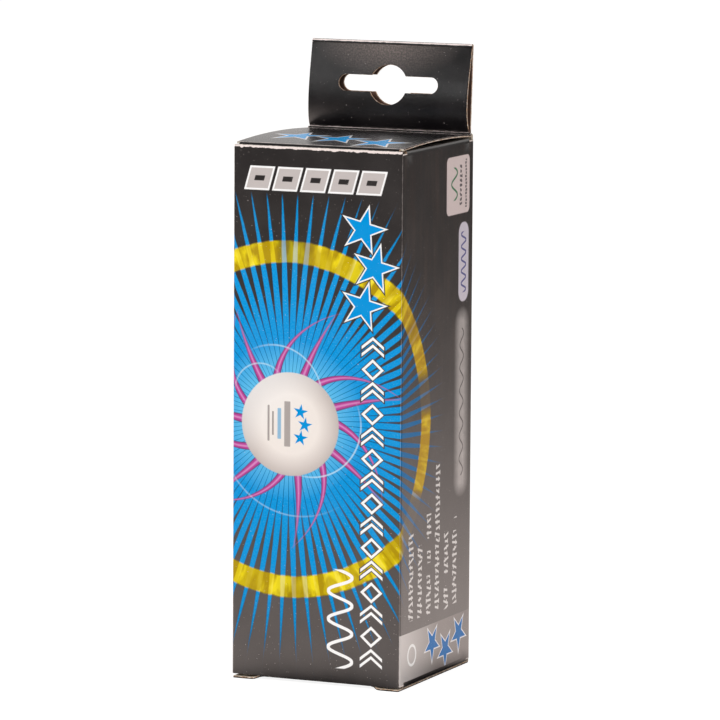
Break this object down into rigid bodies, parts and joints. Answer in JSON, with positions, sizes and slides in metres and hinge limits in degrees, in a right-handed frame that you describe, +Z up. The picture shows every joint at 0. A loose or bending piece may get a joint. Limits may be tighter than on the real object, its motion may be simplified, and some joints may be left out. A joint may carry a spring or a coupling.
{
  "type": "boxed table tennis balls",
  "caption": "Square hang carton of creased board with a crowned tuck lid and a slotted two-ply header, holding a stack of hollow table tennis balls.",
  "frame": {"origin": "centre of the face the carton rests on", "axes": "+Z up, the front panel faces -Y, the right side panel faces +X, the hang header stands on the rear (+Y) edge"},
  "size_m": [0.042, 0.0432, 0.1473],
  "materials": {
    "printed_board": "gloss",
    "raw_board": "matte",
    "ball_plastic": "matte"
  },
  "bodies": {
    "carton": {"front_panel": "printed_board", "right_side_panel": "printed_board", "back_panel": "printed_board", "left_side_panel": "printed_board", "glue_flap": "raw_board", "header_front_ply": "printed_board", "header_back_ply": "printed_board"},
    "lid": {"lid_panel": "printed_board"},
    "lid_tuck": {"lid_tuck_flap": "printed_board"},
    "top_left_dust": {"top_left_dust_flap": "raw_board"},
    "top_right_dust": {"top_right_dust_flap": "raw_board"},
    "bottom": {"bottom_panel": "printed_board"},
    "bottom_tuck": {"bottom_tuck_flap": "printed_board"},
    "bottom_left_dust": {"bottom_left_dust_flap": "raw_board"},
    "bottom_right_dust": {"bottom_right_dust_flap": "raw_board"},
    "lower_ball": {"lower_ball_half_a": "ball_plastic", "lower_ball_half_b": "ball_plastic"},
    "middle_ball": {"middle_ball_half_a": "ball_plastic", "middle_ball_half_b": "ball_plastic"},
    "upper_ball": {"upper_ball_half_a": "ball_plastic", "upper_ball_half_b": "ball_plastic"}
  },
  "joints": [
    {"name": "lid_hinge", "type": "hinge", "parent": "carton", "child": "lid", "pos_m": [0, 0.01975, 0.12615], "axis": [-1, 0, 0], "range_deg": [0, 88]},
    {"name": "lid_tuck_fold", "type": "hinge", "parent": "lid", "child": "lid_tuck", "pos_m": [0, -0.02, 0.1255], "axis": [1, 0, 0], "range_deg": [0, 60]},
    {"name": "top_left_dust_fold", "type": "hinge", "parent": "carton", "child": "top_left_dust", "pos_m": [-0.02077, 0, 0.12518], "axis": [0, -1, 0], "range_deg": [0, 85]},
    {"name": "top_right_dust_fold", "type": "hinge", "parent": "carton", "child": "top_right_dust", "pos_m": [0.02077, 0, 0.12518], "axis": [0, 1, 0], "range_deg": [0, 85]},
    {"name": "bottom_hinge", "type": "hinge", "parent": "carton", "child": "bottom", "pos_m": [0, 0.02077, 0.00022], "axis": [1, 0, 0], "range_deg": [0, 110]},
    {"name": "bottom_tuck_fold", "type": "hinge", "parent": "bottom", "child": "bottom_tuck", "pos_m": [0, -0.02, 0.00047], "axis": [-1, 0, 0], "range_deg": [0, 70]},
    {"name": "bottom_left_dust_fold", "type": "hinge", "parent": "carton", "child": "bottom_left_dust", "pos_m": [-0.02077, 0, 0.00077], "axis": [0, 1, 0], "range_deg": [0, 105]},
    {"name": "bottom_right_dust_fold", "type": "hinge", "parent": "carton", "child": "bottom_right_dust", "pos_m": [0.02077, 0, 0.00077], "axis": [0, -1, 0], "range_deg": [0, 105]},
    {"name": "lower_ball_spin", "type": "hinge", "parent": "carton", "child": "lower_ball", "pos_m": [0, 0, 0.0212], "axis": [1, 0, 0], "continuous": true},
    {"name": "middle_ball_spin", "type": "hinge", "parent": "carton", "child": "middle_ball", "pos_m": [0, 0, 0.06155], "axis": [1, 0, 0], "continuous": true},
    {"name": "upper_ball_spin", "type": "hinge", "parent": "carton", "child": "upper_ball", "pos_m": [0, 0, 0.1019], "axis": [1, 0, 0], "continuous": true}
  ],
  "couplings": [
    {"joint": "lid_tuck_fold", "follows": "lid_hinge", "ratio": 0.6},
    {"joint": "top_left_dust_fold", "follows": "lid_hinge", "ratio": 0.9},
    {"joint": "top_right_dust_fold", "follows": "lid_hinge", "ratio": 0.9},
    {"joint": "bottom_tuck_fold", "follows": "bottom_hinge", "ratio": 0.6},
    {"joint": "bottom_left_dust_fold", "follows": "bottom_hinge", "ratio": 0.9},
    {"joint": "bottom_right_dust_fold", "follows": "bottom_hinge", "ratio": 0.9}
  ]
}
